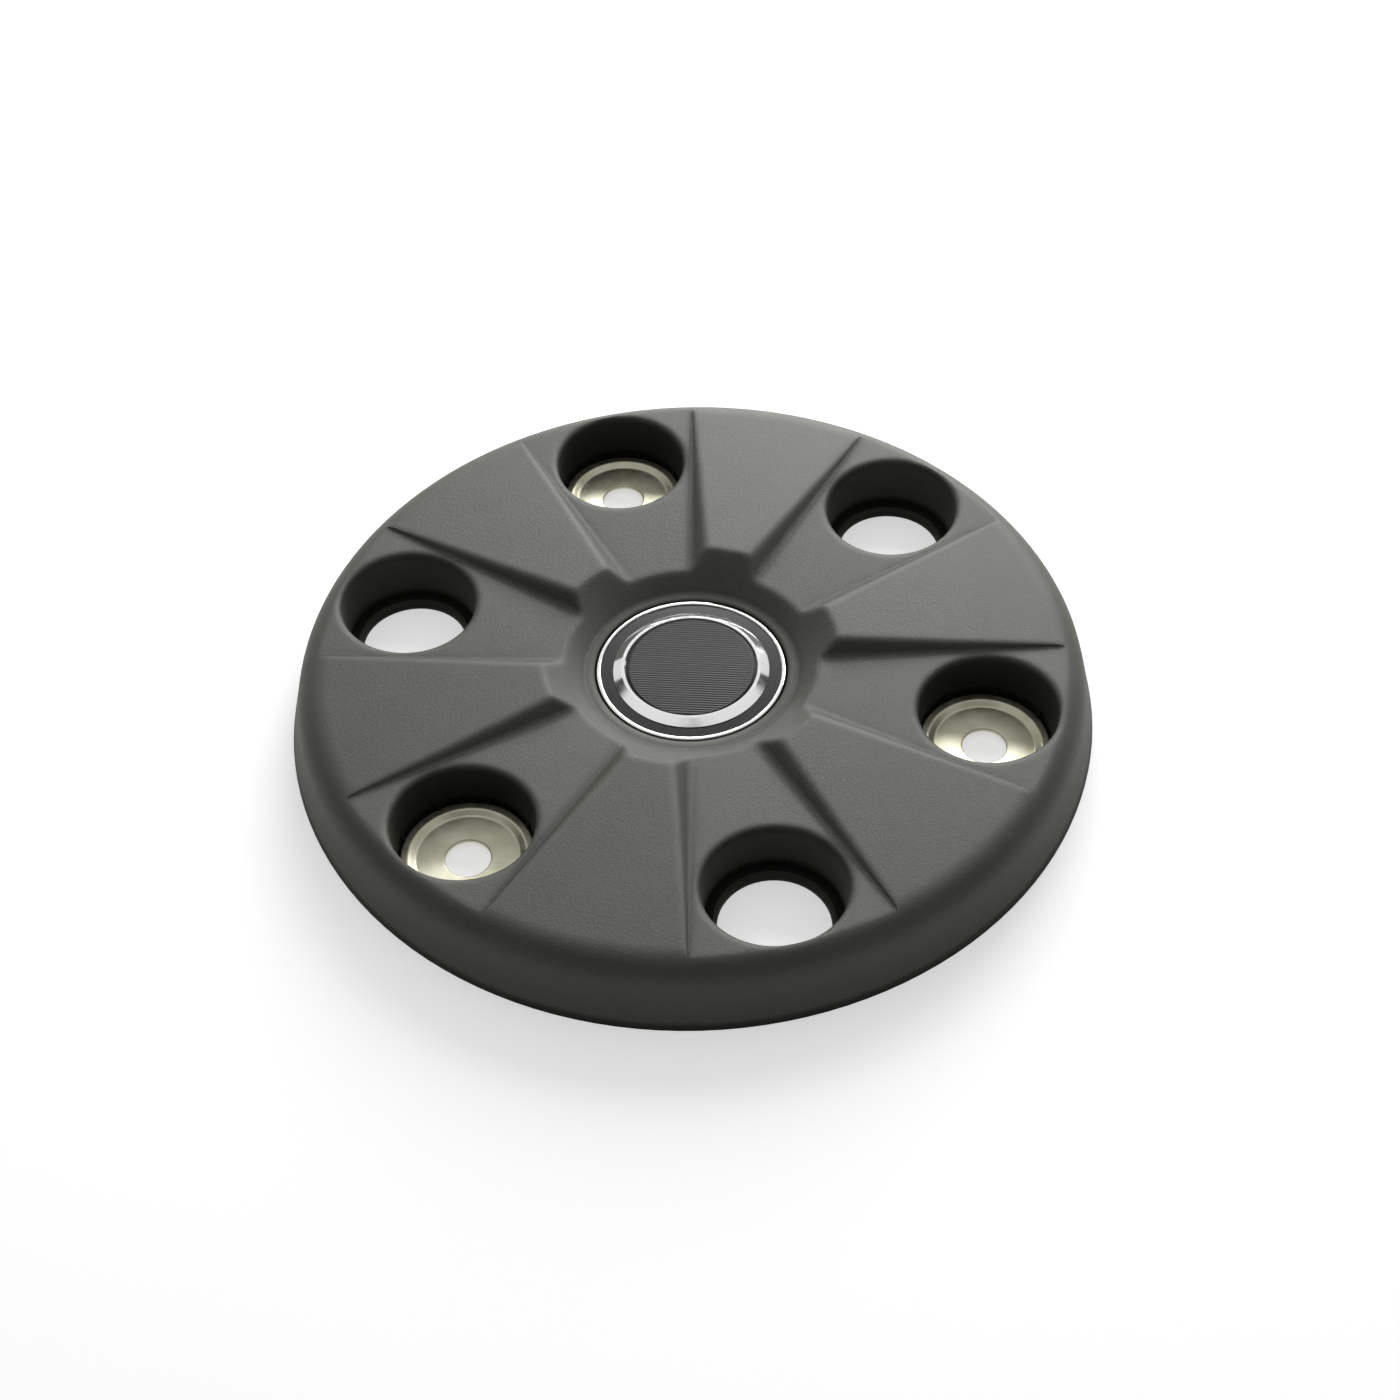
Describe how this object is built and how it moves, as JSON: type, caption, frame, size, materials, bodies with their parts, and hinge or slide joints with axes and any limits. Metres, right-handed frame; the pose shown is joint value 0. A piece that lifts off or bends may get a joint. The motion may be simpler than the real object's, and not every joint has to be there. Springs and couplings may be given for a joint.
{
  "type": "wheel center cap",
  "caption": "Round moulded plastic cap for the middle of a wheel, with bolt pockets, pressed steel retaining cups, raised pads and a recessed round badge.",
  "frame": {"origin": "centre of the back plane, where the skirt's foot and the pocket tubes rest on the wheel", "axes": "+Z along the cap's axis, out of the visible face; +X through the middle of the first steel cup"},
  "size_m": [0.276, 0.276, 0.0235],
  "materials": {
    "cover_plastic": "matte, fine moulded grain",
    "cup_steel": "pressed, lightly streaked, plated",
    "badge_plastic": "satin, finely ribbed in the middle",
    "badge_bright": "bright plated"
  },
  "bodies": {
    "root": {"cap_cover": "cover_plastic", "retainer_cup_1": "cup_steel", "retainer_cup_2": "cup_steel", "retainer_cup_3": "cup_steel", "badge_plate": "badge_plastic", "badge_edge_ring": "badge_bright", "badge_centre_ring": "badge_bright"}
  },
  "joints": []
}
